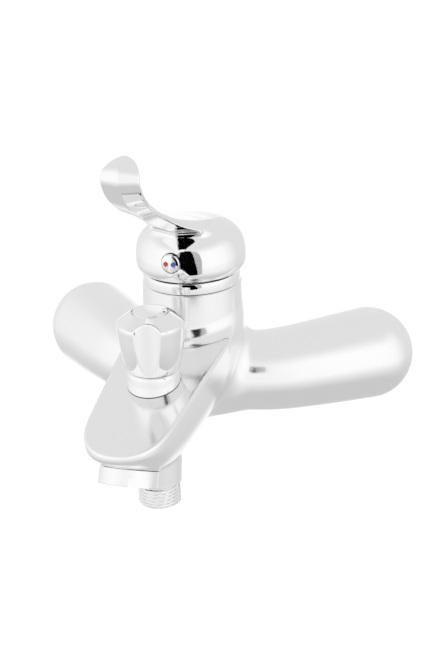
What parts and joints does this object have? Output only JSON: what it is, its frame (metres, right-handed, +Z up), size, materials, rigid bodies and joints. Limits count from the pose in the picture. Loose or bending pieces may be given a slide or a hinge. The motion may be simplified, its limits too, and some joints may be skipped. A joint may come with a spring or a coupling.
{
  "type": "bath mixer tap",
  "caption": "Wall mounted bath and shower mixer with a curled lever on a domed handle, a fluted diverter knob on a sloping spout, a tilted aerator and a threaded shower outlet.",
  "frame": {"origin": "midway between the two inlets, on the plane of the union nuts' rear faces, where the wall fittings meet it", "axes": "+X to the right seen from the front, +Y into the wall, +Z up"},
  "size_m": [0.197, 0.1728, 0.1841],
  "materials": {
    "chrome": "polished chrome plate",
    "brass": "machined brass",
    "steel": "turned stainless steel",
    "ceramic": "lapped white alumina",
    "white_plastic": "moulded acetal",
    "grey_plastic": "moulded glass filled plastic",
    "rubber": "moulded rubber",
    "red": "gloss red",
    "blue": "gloss blue"
  },
  "bodies": {
    "body": {"aerator_housing": "chrome", "aerator_insert": "white_plastic", "aerator_washer": "rubber", "body_casting": "chrome", "cartridge_base": "white_plastic", "cartridge_collar": "chrome", "cartridge_housing": "white_plastic", "cartridge_nut": "brass", "check_valve_body": "white_plastic", "check_valve_spring": "steel", "cold_port_seal": "rubber", "diverter_base_ring": "chrome", "diverter_bonnet": "brass", "diverter_o_ring": "rubber", "diverter_seat_disc": "ceramic", "diverter_seat_seal": "rubber", "filter_washer_left": "rubber", "filter_washer_right": "rubber", "fixed_ceramic_disc": "ceramic", "hot_port_seal": "rubber", "inlet_tailpiece_left": "brass", "inlet_tailpiece_right": "brass", "mixed_port_seal": "rubber", "nipple_o_ring": "rubber", "shower_nipple": "chrome"},
    "stem_swivel": {"stem_guide": "grey_plastic", "stem_pivot_pin": "steel"},
    "lever": {"lever_stem": "steel", "lever_handle": "chrome", "handle_grub_screw": "steel", "indicator_plug": "chrome", "hot_dot": "red", "cold_dot": "blue"},
    "disc": {"disc_carrier": "grey_plastic", "moving_ceramic_disc": "ceramic"},
    "diverter": {"diverter_knob": "chrome", "diverter_knob_cap": "chrome", "diverter_knob_screw": "steel", "diverter_spindle": "brass", "diverter_turning_disc": "ceramic"},
    "poppet": {"check_valve_poppet": "white_plastic"},
    "nut_left": {"union_nut_left": "chrome"},
    "nut_right": {"union_nut_right": "chrome"}
  },
  "joints": [
    {"name": "lever_swivel", "type": "hinge", "parent": "body", "child": "stem_swivel", "pos_m": [0, -0.0605, 0.0527], "axis": [0, 0, 1], "range_deg": [-45, 45]},
    {"name": "lever_tilt", "type": "hinge", "parent": "stem_swivel", "child": "lever", "pos_m": [0, -0.0605, 0.0527], "axis": [-1, 0, 0], "range_deg": [0, 22]},
    {"name": "disc_slide", "type": "slide", "parent": "stem_swivel", "child": "disc", "axis": [0, -1, 0], "range_m": [0, 0.0042]},
    {"name": "diverter_turn", "type": "hinge", "parent": "body", "child": "diverter", "pos_m": [0, -0.1167, 0.0507], "axis": [0, 0, 1], "range_deg": [0, 90]},
    {"name": "poppet_slide", "type": "slide", "parent": "body", "child": "poppet", "axis": [0, 0, -1], "range_m": [0, 0.002], "stiffness_N_per_m": 40, "springref_m": -0.001, "deforming": ["check_valve_spring"]},
    {"name": "nut_left_turn", "type": "hinge", "parent": "body", "child": "nut_left", "pos_m": [-0.075, -0.008, 0], "axis": [0, 1, 0], "continuous": true},
    {"name": "nut_right_turn", "type": "hinge", "parent": "body", "child": "nut_right", "pos_m": [0.075, -0.008, 0], "axis": [0, 1, 0], "continuous": true}
  ],
  "couplings": [
    {"joint": "disc_slide", "follows": "lever_tilt", "m_per_rad": 0.01042}
  ]
}
